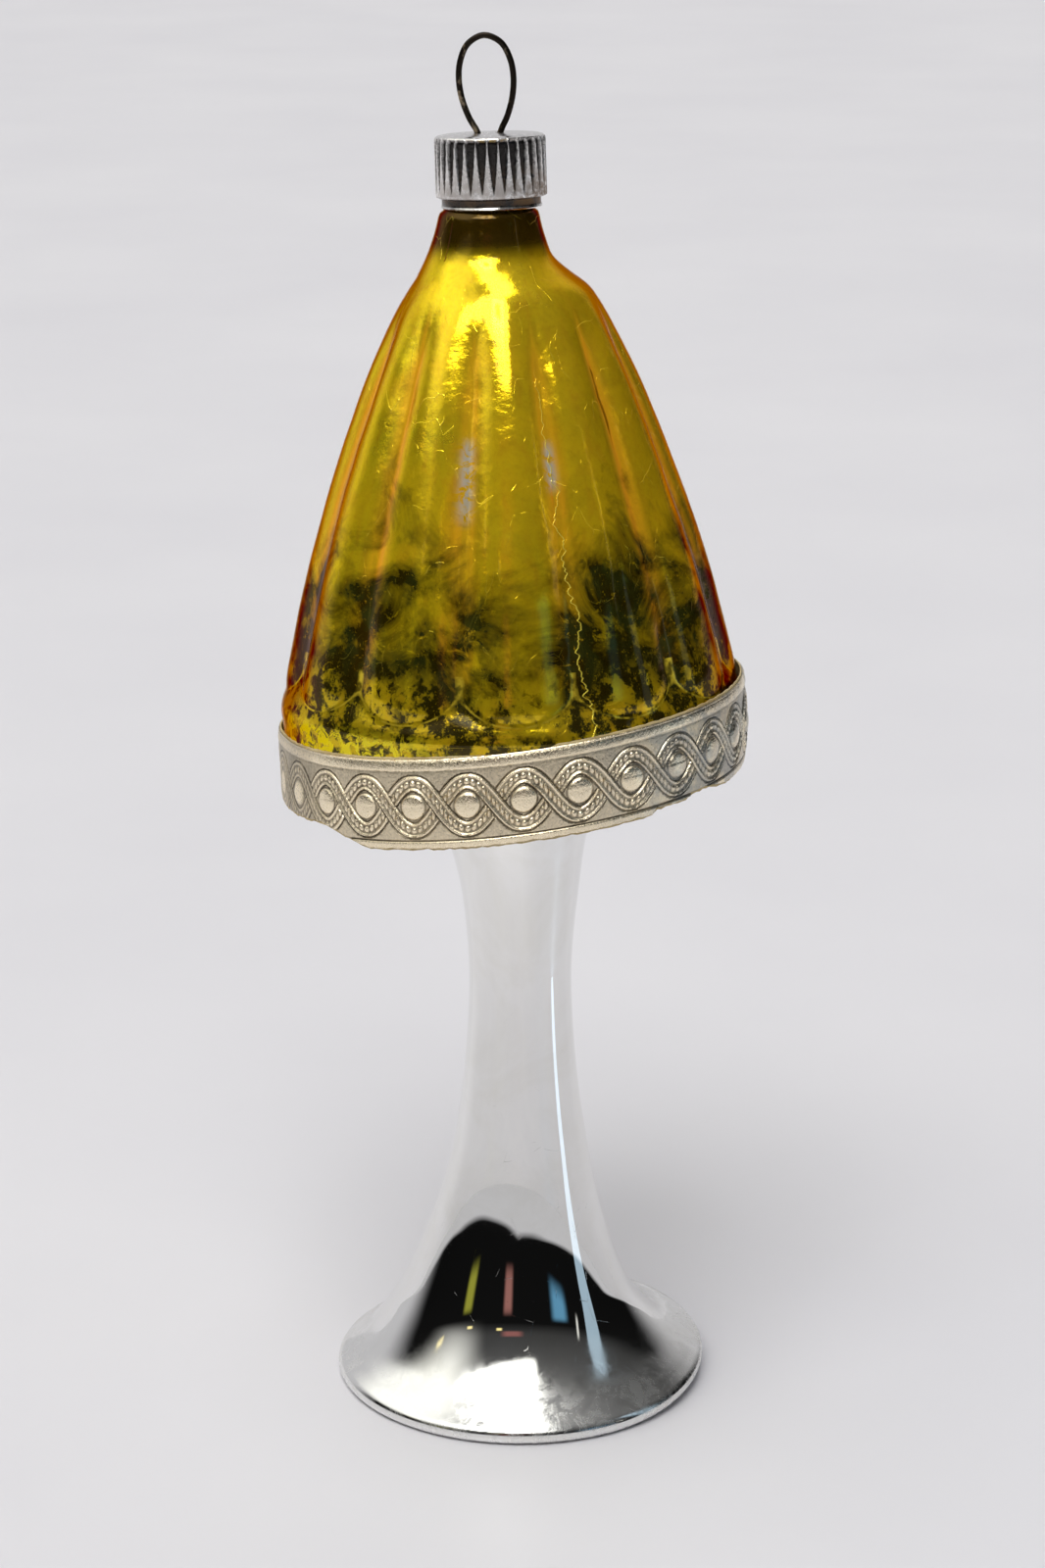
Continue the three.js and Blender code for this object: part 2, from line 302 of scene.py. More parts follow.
class Finish(Graph):
    """A procedural material. Sizes of patterns are in millimetres."""

    def __init__(self, name, **constants):
        self.material = bpy.data.materials.new(name)
        self.material.use_nodes = True
        super().__init__(self.material.node_tree)
        self.shader = self.tree.nodes["Principled BSDF"]
        self.place = self.tree.nodes.new("ShaderNodeTexCoord").outputs["Object"]
        for key, value in constants.items():
            self.shader.inputs[key.replace("_", " ")].default_value = value

    def at(self, stretch):
        """Coordinates in millimetres, divided by a stretch along each axis."""
        scale = [1 / MM / s for s in stretch]
        return self.add("ShaderNodeMapping", {"Vector": self.place, "Scale": scale}).outputs[0]

    def cloud(self, size, detail=3.0, rough=0.55, twist=0.0, stretch=(1, 1, 1)):
        settings = {"Scale": 1 / size, "Detail": detail, "Roughness": rough, "Distortion": twist}
        return self.add("ShaderNodeTexNoise", {"Vector": self.at(stretch), **settings}).outputs[0]

    def drift(self, along, size, seed):
        """Noise along one value only."""
        settings = {"W": self.sum("ADD", along, seed), "Scale": 1 / size, "Detail": 2.0}
        return self.add("ShaderNodeTexNoise", settings, noise_dimensions="1D").outputs[0]

    def cracks(self, size, bend, stretch=(1, 1, 1)):
        """Distance from the nearest line of an irregular net, bent by noise."""
        drift = self.add("ShaderNodeTexNoise", {"Vector": self.at((1, 1, 1)), "Scale": 0.6 / size})
        bent = self.add(
            "ShaderNodeVectorMath",
            {0: drift.outputs["Color"], 1: (bend, bend, bend), 2: self.at(stretch)},
            operation="MULTIPLY_ADD",
        )
        net = self.add(
            "ShaderNodeTexVoronoi",
            {"Vector": bent.outputs[0], "Scale": 1 / size},
            feature="DISTANCE_TO_EDGE",
        )
        return net.outputs["Distance"]

    def attribute(self, name):
        return self.add("ShaderNodeAttribute", attribute_name=name).outputs["Fac"]

    def link(self, key, value):
        self.tree.links.new(value, self.shader.inputs[key])

    def bump(self, *layers):
        """Layers of (height, depth in millimetres), on top of one another."""
        normal = None
        for height, depth in layers:
            made = self.add("ShaderNodeBump", {"Height": height, "Distance": depth * MM})
            if normal:
                self.tree.links.new(normal, made.inputs["Normal"])
            normal = made.outputs[0]
        self.link("Normal", normal)


def tarnish_and_dark_room_reflection(f, gold, turn, height, valley, outside):
    """Dark mottled patches low on the shade, feathered and full of bright specks: partly silvering gone
    to tarnish, partly a painted reflection of the dark room in front.
    """
    edge = f.sum("MULTIPLY", f.sum("SUBTRACT", f.cloud(7, 5, 0.65, 0.6), 0.5), 46.0)
    clear_front = f.sum("MULTIPLY", f.mask(f.sum("ABSOLUTE", turn, 0.0), 8, 22, 1, 0), 8.0)
    bottom = f.sum("ADD", height, edge, clear_front, f.sum("MULTIPLY", valley, -3.0))
    reach = f.sum("MULTIPLY", f.mask(bottom, 20, 31, 1, 0), outside)
    # The lobe ends are kept clear of the dark, as a painted highlight of the table on their rounded tips,
    # and two of them more than the rest.
    tip = f.sum("MULTIPLY", f.mask(valley, 0.02, 0.16, 1, 0), f.mask(height, 14.5, 18, 1, 0))
    tip = f.sum("MULTIPLY", tip, f.mask(f.cloud(2.2, 5, 0.7), 0.48, 0.56))
    for middle in (-35, 7):
        beside = f.mask(f.sum("ABSOLUTE", f.sum("SUBTRACT", turn, middle), 0), 3, 7.5, 1, 0)
        end = f.mask(f.sum("ABSOLUTE", f.sum("SUBTRACT", height, 13.3), 0), 1.6, 3.2, 1, 0)
        shine = f.sum("MULTIPLY", beside, end, f.mask(f.cloud(1.1, 4, 0.7, 0.5), 0.4, 0.5))
        tip = f.sum("MAXIMUM", tip, f.sum("MULTIPLY", shine, 1.4))
    blotch = f.mask(f.cloud(2.4, 6, 0.72, 0.9), 0.33, 0.47)
    blotch = f.sum("MAXIMUM", blotch, f.mask(height, 12, 16, 1, 0))
    speck = f.mask(f.cloud(0.36, 4, 0.75, 0.4), 0.33, 0.42)
    dark = f.sum("MULTIPLY", reach, f.mask(f.sum("MULTIPLY", blotch, speck), 0, 0.5, 0.45, 1))
    dark = f.sum("MULTIPLY", dark, f.mask(tip, 0, 1, 1, 0.3))
    deep = f.mix(f.mask(f.cloud(2.2, 3), 0.4, 0.6), (0.008, 0.006, 0.001), (0.018, 0.034, 0.008))
    return f.mix(f.sum("MULTIPLY", dark, 0.96), gold, deep)


def lacquer_lines(f, turn, height):
    """A crinkled bright line down the right of the front, and hair scratches."""
    wander = f.sum("MULTIPLY", f.sum("SUBTRACT", f.drift(height, 4.5, 3.0), 0.5), 8.0)
    jitter = f.sum("MULTIPLY", f.sum("SUBTRACT", f.drift(height, 0.9, 9.0), 0.5), 2.8)
    slant = f.sum("MULTIPLY", height, 0.12)
    off = f.sum("ABSOLUTE", f.sum("ADD", turn, wander, jitter, slant, -21.5), 0)
    crinkle = f.sum("MULTIPLY", f.mask(off, 0.05, 0.24, 1, 0), f.mask(height, 44, 47, 1, 0))
    hairs = f.mask(f.cracks(3.0, 2.5, (1, 1, 2.4)), 0.0, 0.007, 1, 0)
    hairs = f.sum("MULTIPLY", hairs, f.mask(f.cloud(2.6, 3), 0.5, 0.6), f.mask(height, 20, 44, 0.35, 1))
    return f.sum("MAXIMUM", f.sum("MULTIPLY", hairs, 0.5), crinkle)


def lacquer_finish():
    """Transparent gold lacquer over silvering, worn in the valleys, with tarnish low down that also
    carries a painted reflection of the dark room; painted shade on the neck and edges, and painted
    highlights at the lobe ends and lower left.
    """
    f = Finish("gold_lacquer", Coat_Roughness=0.03, Coat_IOR=1.4, Specular_IOR_Level=0.2)
    f.shader.inputs["Specular Tint"].default_value = (0.7, 0.3, 0.05, 1)
    turn, height, valley = f.attribute("turn"), f.attribute("height"), f.attribute("valley")
    outside = f.attribute("outside")
    graze = f.add("ShaderNodeLayerWeight", {"Blend": 0.5}).outputs["Facing"]
    tone = f.cloud(8, 4, 0.6, 0.4)
    gold = f.mix(f.mask(tone, 0.3, 0.7), (0.94, 0.63, 0.010), (1.0, 0.78, 0.016))
    gold = f.mix(f.mask(turn, -45, 60, 0, 0.6), gold, (0.96, 0.56, 0.010))
    gold = f.mix(f.mask(f.cloud(0.55, 3, 0.7), 0.45, 0.68, 0, 0.28), gold, (0.6, 0.35, 0.007))
    streaks = f.cloud(1.6, 4, 0.6, 0.5, (1, 1, 9))
    gold = f.mix(f.mask(streaks, 0.5, 0.72, 0, 0.45), gold, (0.82, 0.42, 0.012))
    side = f.sum("MULTIPLY", f.mask(valley, 0.1, 0.5), f.mask(graze, 0.08, 0.4, 0.45, 1))
    gold = f.mix(f.sum("MULTIPLY", side, 0.8), gold, (0.86, 0.33, 0.015))
    # Darker and browner towards the outline: the lacquer's longer path there, and partly painted shade at
    # the edges.
    gold = f.mix(f.mask(graze, 0.5, 0.9, 0, 0.8), gold, (0.46, 0.25, 0.006))
    # The neck is painted near-black: lacquer pooled there, and a painted reflection of the dark room.
    neck = f.sum("MULTIPLY", f.attribute("neck"), f.mask(graze, 0.4, 0.9, 0.97, 0.9))
    gold = f.mix(neck, gold, (0.045, 0.022, 0.002))

    gold = tarnish_and_dark_room_reflection(f, gold, turn, height, valley, outside)

    # A painted reflection of the white table: on the left the glass below the lobes is bright yellow,
    # broken by dark flecks.
    rim = f.sum("MULTIPLY", f.mask(height, 10.0, 11.0, 1, 0), f.mask(turn, -30, -12, 1, 0), outside)
    fleck = f.mask(f.cloud(1.4, 5, 0.7, 0.9), 0.46, 0.52, 1, 0)
    rim = f.sum("MULTIPLY", rim, fleck)
    gold = f.mix(rim, gold, (0.86, 0.7, 0.02))
    # A painted highlight: a bright line along the crease where each lobe ends above the rim.
    lobe_crease_highlight = f.mask(f.sum("ABSOLUTE", f.attribute("lobe_crease_highlight"), 0.0), 0.015, 0.07, 1, 0)
    lobe_crease_highlight = f.sum("MULTIPLY", lobe_crease_highlight, f.mask(f.cloud(1.2, 3), 0.42, 0.55, 0.15, 1))
    gold = f.mix(f.sum("MULTIPLY", lobe_crease_highlight, 0.8), gold, (0.95, 0.7, 0.05))

    # Bare glass where the lacquer has rubbed off in the two front valleys.
    bare = f.sum("MULTIPLY", f.attribute("worn"), f.mask(f.cloud(1.3, 4, 0.7, 0.8), 0.42, 0.5))
    gold = f.mix(bare, gold, (0.66, 0.65, 0.58))

    lines = lacquer_lines(f, turn, height)
    gold = f.mix(lines, gold, (1.0, 0.82, 0.1))
    f.link("Base Color", gold)
    mirror = f.sum("MAXIMUM", f.mask(tone, 0.3, 0.7, 0.6, 0.76), rim, f.mask(graze, 0.3, 0.7))
    f.link("Metallic", f.sum("MULTIPLY", mirror, f.mask(side, 0.2, 1, 1, 0.4)))
    f.link("Coat Weight", f.mask(graze, 0.2, 0.6, 0.5, 0))
    f.link("Roughness", f.mask(f.cloud(4, 4, 0.6), 0.3, 0.7, 0.07, 0.17))
    f.bump((f.cloud(4.5, 3, 0.5, 0.4), 0.10), (f.cloud(0.9, 3, 0.6), 0.03), (lines, 0.05))
    return f.material


def silver_finish():
    """Clear glass silvered on its inside: a mirror, hazed and scratched where it has been handled."""
    f = Finish("silvered_glass", Metallic=1.0, Coat_Weight=0.5, Coat_Roughness=0.015, Coat_IOR=1.45)
    height = f.attribute("height")
    graze = f.add("ShaderNodeLayerWeight", {"Blend": 0.5}).outputs["Facing"]
    smudge = f.mask(f.cloud(11, 5, 0.65, 0.6), 0.45, 0.7)
    low = f.mask(height, 3.5, 9, 1, 0)
    haze = f.sum("MULTIPLY", low, f.mask(f.cloud(3, 6, 0.78, 0.6), 0.38, 0.56, 0.2, 1))
    scratch = f.mask(f.cracks(5, 1, (1, 1, 1.3)), 0.0, 0.002, 1, 0)
    scratch = f.sum("MULTIPLY", scratch, f.mask(f.cloud(2.5, 2), 0.56, 0.64))
    silver = f.mix(smudge, (0.86, 0.855, 0.84), (0.80, 0.79, 0.755))
    # Darker towards the outline: painted shade at grazing angles.
    silver = f.mix(f.mask(graze, 0.6, 0.95, 0, 0.6), silver, (0.66, 0.66, 0.63))
    f.link("Base Color", silver)
    rough = f.sum("ADD", f.mask(smudge, 0, 1, 0.02, 0.05), f.sum("MULTIPLY", haze, 0.26))
    f.link("Roughness", f.sum("ADD", rough, f.sum("MULTIPLY", scratch, 0.08)))
    f.bump((f.cloud(9, 2, 0.4), 0.03), (scratch, 0.004))
    return f.material


def foil_finish():
    """Champagne-silver foil: bright on the relief, with painted shade dark in its grooves, blue-grey
    tarnish on one side.
    """
    f = Finish("embossed_foil", Metallic=0.95)
    relief, tarnish = f.attribute("relief"), f.attribute("tarnish")
    grain = f.cloud(0.22, 3, 0.6)
    # Painted shade: the foil is darkened where the relief is low, in its grooves.
    painted_groove_shade = f.mask(f.sum("ADD", relief, f.sum("MULTIPLY", grain, 0.1)), 0.03, 0.16)
    base = f.mix(painted_groove_shade, (0.06, 0.045, 0.028), (0.96, 0.83, 0.60))
    base = f.mix(f.mask(f.cloud(3.5, 4, 0.6), 0.4, 0.65, 0, 0.35), base, (0.82, 0.69, 0.48))
    patch = f.sum("MULTIPLY", tarnish, f.mask(f.cloud(2.6, 4, 0.65, 0.5), 0.36, 0.56))
    base = f.mix(f.sum("MULTIPLY", patch, 0.6), base, (0.2, 0.23, 0.25))
    f.link("Base Color", base)
    low_rough = f.mask(relief, 0.0, 0.2, 0.15, 0)
    f.link("Roughness", f.sum("ADD", f.mask(grain, 0.3, 0.7, 0.15, 0.32), low_rough))
    f.bump((grain, 0.05), (f.cloud(0.9, 3, 0.6), 0.05))
    return f.material


def paper_finish():
    """Cream backing paper, yellowed, with a fibrous cut edge."""
    f = Finish("backing_paper", Roughness=0.9)
    fibre = f.cloud(0.35, 4, 0.7, 0.3, (2.5, 2.5, 0.6))
    tone = f.mix(f.mask(f.cloud(4, 3), 0.35, 0.65), (0.50, 0.37, 0.17), (0.66, 0.54, 0.30))
    f.link("Base Color", f.mix(f.mask(fibre, 0.55, 0.7, 0, 0.5), tone, (0.30, 0.19, 0.08)))
    f.bump((fibre, 0.06))
    return f.material


def cap_finish():
    """Bright thin metal with painted near-black shade in its crimps and under the skirt, and brown
    tarnish creeping up from the hem.
    """
    f = Finish("cap_metal", Metallic=1.0)
    groove, hem = f.attribute("groove"), f.attribute("hem")
    rub = f.cloud(0.7, 4, 0.65, 0.3, (1, 1, 3))
    base = f.mix(f.mask(rub, 0.35, 0.65), (0.70, 0.68, 0.66), (0.94, 0.92, 0.9))
    # Painted shade: near-black down the crimps and on the collar under the skirt.
    base = f.mix(f.sum("MULTIPLY", groove, 0.96), base, (0.02, 0.017, 0.015))
    rust = f.sum("MULTIPLY", hem, f.mask(f.cloud(1.3, 5, 0.7, 0.6), 0.38, 0.55))
    base = f.mix(rust, base, (0.2, 0.12, 0.06))
    f.link("Base Color", base)
    f.link("Roughness", f.sum("ADD", f.mask(rub, 0.3, 0.7, 0.16, 0.3), f.sum("MULTIPLY", rust, 0.3)))
    f.bump((f.cloud(0.4, 3, 0.6), 0.02))
    return f.material


def wire_finish():
    """Dark spring steel, browned, rubbed through to brassy metal in places."""
    f = Finish("spring_wire", Metallic=1.0)
    rub = f.mask(f.cloud(1.4, 5, 0.6, 0.4, (1, 1, 2)), 0.56, 0.7)
    f.link("Base Color", f.mix(rub, (0.022, 0.017, 0.013), (0.42, 0.33, 0.22)))
    f.link("Roughness", f.mask(f.cloud(0.5, 3), 0.3, 0.7, 0.25, 0.45))
    f.bump((f.cloud(0.3, 3, 0.6), 0.015))
    return f.material


def floor_finish():
    """A pale lilac-grey table top with the faintest cloudiness."""
    f = Finish("floor", Roughness=0.4)
    cloudiness = f.mask(f.cloud(90, 4, 0.5), 0.3, 0.7)
    f.link("Base Color", f.mix(cloudiness, (0.70, 0.69, 0.735), (0.74, 0.73, 0.77)))
    f.bump((f.cloud(1.2, 2), 0.01))
    return f.material


# ---- Stem and foot --------------------------------------------------------------------------------
def stem_and_foot():
    """The hollow trumpet: its underside and nub, the rolled edge, the flare, and the inside."""
    underside = [(0.02, KICK_UP - 0.7), (0.5, KICK_UP - 0.68), (0.95, KICK_UP - 0.42)]
    hollow = spline([(1.7, KICK_UP), (9, 1.5), (14.6, 0.45), (REST_RADIUS, 0)], 30)
    rim = arc(FOOT_RADIUS - RIM_ROUND, RIM_ROUND, RIM_ROUND, -90, 62, 16)
    flare = spline(
        [
            (19.2, 2.55),
            (16.4, 5),
            (13.6, 8.8),
            (11.7, 12.7),
            (9.4, 19.2),
            (7.6, 26.6),
            (6.25, 36),
            (5.62, 46.5),
            (6.1, 54.5),
            (7.1, 61.2),
            (8.3, 65.4),
            (9.5, 67.9),
        ],
        220,
    )
    outside = even(np.vstack([underside, hollow, rim, flare]), 0.42)
    inside = even(inside_of(outside, GLASS)[::-1], 2.5)
    profile = np.vstack([outside, inside])
    columns = 160
    turn = np.linspace(0, 2 * math.pi, columns, endpoint=False)
    r, z = np.broadcast_arrays(profile[:, 0, None], profile[:, 1, None] + 0 * turn)
    unit = np.stack([np.cos(turn), np.sin(turn)], axis=-1)
    points = np.concatenate([r[..., None] * unit, z[..., None]], axis=-1)
    low, most, high = FLARE_HEIGHTS
    points[..., 0] -= FLARE_LEFT * smooth(z, low, most) * (1 - smooth(z, most, high))
    outward = np.maximum(r - EDGE_LIFT_FROM, 0) / (FOOT_RADIUS - EDGE_LIFT_FROM)
    facing = np.arctan2(points[..., 0], -points[..., 1]) - EDGE_LIFT_TURN
    facing = np.maximum(np.cos(0.9 * (facing + 2 * math.pi * (facing < -math.pi))), 0)
    points[..., 2] += EDGE_LIFT * (outward * facing) ** 1.5
    waves = wobble(points, 16, 1) * 0.05 * smooth(z, 3, 8)
    points[..., :2] += waves[..., None] * unit
    bend = smooth(points[..., 2], STEM_BEND_FROM, SHADE_BASE)
    slope_x, slope_y = upward.x / upward.z, upward.y / upward.z
    points[..., 2] -= bend * (points[..., 0] * slope_x + points[..., 1] * slope_y)
    points[..., 0] += bend * SHADE_X
    count = len(profile)
    faces = grid_faces(count, columns, False).tolist()
    faces.append(list(range(columns))[::-1])
    faces.append(list(range((count - 1) * columns, count * columns)))
    piece = make("silver_stem_and_foot", points, faces, Matrix(), {"height": z})
    return dress(piece, "glass", "stem_and_foot", silver_finish())


# ---- Shade ----------------------------------------------------------------------------------------
def shade_profile():
    """The shade's section: floor, rim, wall, neck and bore, then the inside. Also its outer row count."""
    floor = spline([(9.85, -0.72), (10.9, 0.5), (13.5, 1.9), (17.5, 2.7), (21.5, 2.9)], 40)
    rim = spline([(22.9, 3.2), (24.1, 4.1), (24.65, 5.8), (24.7, 9)], 30)
    wall = spline(
        [
            (24.6, 10.8),
            (23.9, 14.1),
            (21.4, 24.3),
            (18.15, 34.5),
            (14.85, 43.3),
            (12, 49.5),
            (9.9, 53.2),
            (8, 55.3),
            (6.6, 57.1),
            (5.8, 59.3),
            (5.32, 61.3),
        ],
        300,
    )
    shoulder = [(5.15, 61.75), (NECK_RADIUS, 62), (NECK_RADIUS, NECK_TOP - 0.2)]
    lip = [(NECK_RADIUS - 0.2, NECK_TOP), (NECK_RADIUS - NECK_WALL + 0.1, NECK_TOP)]
    body = even(np.vstack([floor, rim, wall]), 0.45)
    bore = [(NECK_RADIUS - NECK_WALL, NECK_TOP - 0.15), (NECK_RADIUS - NECK_WALL, 62.2)]
    inside = even(inside_of(body, GLASS)[::-1], 1.6)
    profile = np.vstack([body, even(shoulder, 0.5), lip, even(bore, 0.8), inside])
    return profile, len(body)


def shade():
    """The lobed shade. The lobes fade towards the neck and end in rounded tips above the rim."""
    profile, outer_rows = shade_profile()
    per_lobe = 26
    columns = LOBES * per_lobe
    lobe, step = np.divmod(np.arange(columns), per_lobe)
    beyond = step / per_lobe * 2  # 0 on a crown, 1 in the valley, 2 on the next crown
    beyond = np.where(beyond > 1, beyond - 2, beyond)
    valley_index = (lobe + (step >= per_lobe // 2)) % LOBES
    turn = LOBE_PHASE + (lobe + step / per_lobe) * 2 * math.pi / LOBES - math.pi / 2
    r = profile[:, 0, None] + 0 * turn
    z = profile[:, 1, None] + 0 * turn

    # The valleys wander a little, each in its own way, and the columns follow them.
    closeness = np.abs(beyond) ** 4
    place = np.stack([z / 9, np.broadcast_to(valley_index * 3.7, z.shape), 0 * z], axis=-1)
    turn = turn + 0.03 * closeness * wobble(place, 1.0, 2)
    turn = turn + 0.012 * closeness * wobble(place * (6, 1, 1), 1.0, 3)

    fade = 1 - smooth(z, LOBE_FADE, LOBE_HEAD)
    depth = LOBE_DEPTH * fade
    tuck_from, tuck, tuck_over = CROWN_TUCK
    valleys = RIM_PROUD * smooth(z, 8.2, LOBE_FOOT) * (1 - smooth(z, 50, 56))
    valleys = valleys - (depth + RIM_PROUD * fade) * smooth(z, LOBE_FOOT, LOBE_PRESSED)
    beside = 1 - np.abs(beyond)
    rounded = np.sqrt(beside**2 + VALLEY_ROUND**2) - VALLEY_ROUND
    rounded = rounded / (math.sqrt(1 + VALLEY_ROUND**2) - VALLEY_ROUND)
    lobes = -depth * (1 - rounded) ** 2.1 - tuck * (np.maximum(tuck_from - z, 0) / tuck_over) ** 2
    offset = np.maximum(valleys, lobes)
    rows = np.arange(len(profile))[:, None] + 0 * turn
    outer = (rows < outer_rows) & (z > 8)
    inner = (rows >= outer_rows) & (z > 8) & (r > NECK_RADIUS)
    r = r + np.where(outer, offset, 0) - np.where(inner, LOBE_DEPTH * fade, 0)
    unit = np.stack([np.cos(turn), np.sin(turn)], axis=-1)
    points = np.concatenate([r[..., None] * unit, z[..., None]], axis=-1)
    drift = wobble(points, 11, 4) * 0.12 + wobble(points, 3.5, 5) * 0.04
    points[..., :2] += (drift * smooth(z, 8, 14) * (1 - smooth(z, 58, 61)))[..., None] * unit
    points[..., 0] += neck_offset(z)

    facing = np.degrees(np.arctan2(unit[..., 0], -unit[..., 1])) + 0 * z
    worn_at = ridge(facing + 13, 2.2) * smooth(z, 31, 33.5) * (1 - smooth(z, 38.5, 40.5))
    worn_at = worn_at + ridge(facing - 17, 1.6) * smooth(z, 34, 36) * (1 - smooth(z, 38, 40))
    attributes = {
        "turn": facing,
        "height": z,
        "valley": np.where(rows < outer_rows, np.abs(beyond) ** 4 * fade * smooth(z, 12, 18), 0),
        "outside": (rows < outer_rows) * 1.0,
        # Where the neck is painted dark, for pooled lacquer and a painted reflection of the dark room.
        "neck": smooth(z, 56.6, 59),
        # The crease where each lobe ends, drawn in the lacquer as a painted highlight line.
        "lobe_crease_highlight": np.where((rows < outer_rows) & (z > 9.8) & (z < 17), lobes - valleys, 1),
        "worn": worn_at,
    }
    faces = grid_faces(len(profile), columns, True)
    piece = make("gold_shade", points, faces, shade_frame, attributes)
    return dress(piece, "glass", "shade", lacquer_finish())


# ---- Trim -----------------------------------------------------------------------------------------
def dome(distance, radius):
    """The height of half a ball of height 1, and 0 outside its radius."""
    return np.sqrt(np.maximum(1 - (distance / radius) ** 2, 0))


def ribbon_relief(x, v, side):
    """Height of one wavy ribbon with two raised edges and a row of beads, and where it lies."""
    slope = side * WAVE * math.pi / PITCH * np.cos(math.pi * x)
    distance = (v - side * WAVE * np.sin(math.pi * x)) / np.sqrt(1 + slope**2)
    fine = np.linspace(0, 1, 401)
    speed = np.sqrt(1 + (WAVE * math.pi / PITCH * np.cos(math.pi * fine)) ** 2)
    along = np.r_[0, np.cumsum((speed[1:] + speed[:-1]) / 2)]
    bead_turn = np.interp(x % 1, fine, along / along[-1]) * BEADS
    spacing = PITCH * speed.mean() / BEADS
    beside = (bead_turn % 1 - 0.5) * spacing
    height = 0.01 + 0.19 * ridge(np.abs(distance) - 0.62, 0.14)
    height = height + 0.22 * dome(np.hypot(beside, distance), 0.3)
    height = height - 0.12 * ridge(np.abs(distance) - 0.87, 0.08)
    return height, np.abs(distance) < RIBBON + 0.12, slope


def foil_relief(x, v):
    """Height of the embossing, at x repeats along the strip and v millimetres above its middle."""
    u = v + 0.25
    eye = np.hypot((x % 1 - 0.5) * PITCH, u)
    height = 0.07 + 0.3 * dome(eye, 1.3) - 0.08 * ridge(eye - 1.42, 0.09)
    first, on_first, slope = ribbon_relief(x, u, 1)
    second, on_second, _ = ribbon_relief(x, u, -1)
    over, on_over = np.where(slope < 0, first, second), np.where(slope < 0, on_first, on_second)
    under, on_under = np.where(slope < 0, second, first), np.where(slope < 0, on_second, on_first)
    height = np.where(on_under, under, height)
    height = np.where(on_over, over, height)
    top = STRIP_HEIGHT / 2 - 1.2
    border = 0.08 + 0.12 * dome(v - top - 0.45, 0.55) + 0.1 * ridge(v - top - 1.1, 0.1)
    height = np.where(v > top, border, height) - 0.1 * ridge(v - top, 0.08)
    low = -STRIP_HEIGHT / 2 + 0.8
    height = np.where(v < low, 0.07 + 0.08 * dome(v - low + 0.4, 0.6), height)
    return height - 0.14 * ridge(v - low, 0.1)


def lower_cut(turn):
    """How much of the strip's lower edge is missing, by the angle from the front to the right."""
    left = 2.0 * smooth(turn, -118, -100) * np.clip((-37 - turn) / 15, 0, 1)
    notch = 0.5 * smooth(turn, 35, 36) * (1 - smooth(turn, 57, 64))
    notch = notch + 0.35 * smooth(turn, 47, 47.8) * (1 - smooth(turn, 52, 58))
    ragged = 0.1 * np.sin(turn * 0.37) * np.sin(turn * 0.113 + 1) + 0.04 * np.sin(turn * 1.7)
    return left + notch + np.abs(ragged)


def strip_section(v, turn, inner):
    """The strip bows out between its edges, and one end of its top edge has sprung off the glass."""
    bow = STRIP_BOW * (1 - (np.abs(v) / (STRIP_HEIGHT / 2)) ** 2.5)
    sprung = smooth(turn, -122, -104) * (1 - smooth(turn, -88, -74))
    return inner + bow + SPRUNG_EDGE * sprung * smooth(v, 0.5, 4.7)


def strip(name, inner, thickness, shows, columns_per_eye, spacing, embossed):
    """A band once round the shade from the lap at the back, closed at both ends."""
    columns = int(EYES * columns_per_eye * (1 + STRIP_LAP / 2 / math.pi))
    along = np.linspace(0, 2 * math.pi + STRIP_LAP, columns + 1)
    turn = along + math.pi / 2
    facing = np.degrees((along + 2 * math.pi) % (2 * math.pi) - math.pi)
    high = STRIP_HEIGHT / 2 + shows
    rows = int(2 * high / spacing)
    v = np.linspace(-high, high, rows + 1)[:, None] + 0 * turn
    low_edge = -high + lower_cut(facing)
    wear = 0.05 * np.sin(facing * 0.9 + shows * 9) + 0.04 * np.sin(facing * 2.3)
    v = np.clip(v, low_edge + wear * (shows > 0), high - np.abs(wear) * (shows > 0))
    climb = LAP_CLIMB * smooth(along, 2 * math.pi - STRIP_LAP, 2 * math.pi)
    x = np.broadcast_to((along + math.pi / 2) / (2 * math.pi) * EYES, v.shape)
    relief = foil_relief(x + EMBOSSING_SHIFT, v) if embossed else 0 * v
    pressed_flat = smooth(-facing, 46, 62) * (1 - smooth(-facing, 100, 115))
    relief = relief * (1 - 0.65 * pressed_flat)
    if embossed:
        relief = relief + 0.012 * wobble(np.stack([x * PITCH, v, 0 * v], axis=-1), 0.3, 6)
    buckle = 0.06 * np.sin(along * 5.3) * np.sin(along * 2.1 + v * 0.2)
    outer = strip_section(v, facing, inner) + thickness + relief + climb + buckle * (v < 0)
    back = strip_section(v, facing, inner) + climb + buckle * (v < 0)
    z = v + STRIP_MIDDLE

    def shell(r):
        px, py = r * np.cos(turn), r * np.sin(turn)
        return np.stack([px, py, z + px * STRIP_CLIMB_RIGHT + py * STRIP_CLIMB_BACK], axis=-1)

    points = np.concatenate([shell(outer), shell(back)[::-1]])
    count, wide = len(points), columns + 1
    faces = grid_faces(count, wide, True, False).tolist()
    half = rows + 1
    for edge in (0, columns):
        for i in range(half - 1):
            quad = [i, i + 1, count - 2 - i, count - 1 - i]
            quad = [k * wide + edge for k in quad]
            faces.append(quad if edge == 0 else quad[::-1])
    high_part = np.concatenate([relief, 0 * relief])
    right = smooth(np.broadcast_to(facing, v.shape), 5, 50) * (1 - smooth(facing, 95, 140))
    attributes = {"relief": high_part, "tarnish": np.concatenate([right, right])}
    return make(name, points, faces, shade_frame, attributes, 50)


def trim():
    """The paper backing, and the embossed foil over it."""
    paper = strip("cream_backing_paper", PAPER_INNER, PAPER_THICKNESS, BACKING_SHOWS, 10, 0.5, False)
    dress(paper, "glass", "trim_backing_paper", paper_finish())
    foil = strip("embossed_foil_strip", FOIL_INNER, FOIL_THICKNESS, 0, 56, 0.1, True)
    return dress(foil, "glass", "trim_embossed_foil", foil_finish())


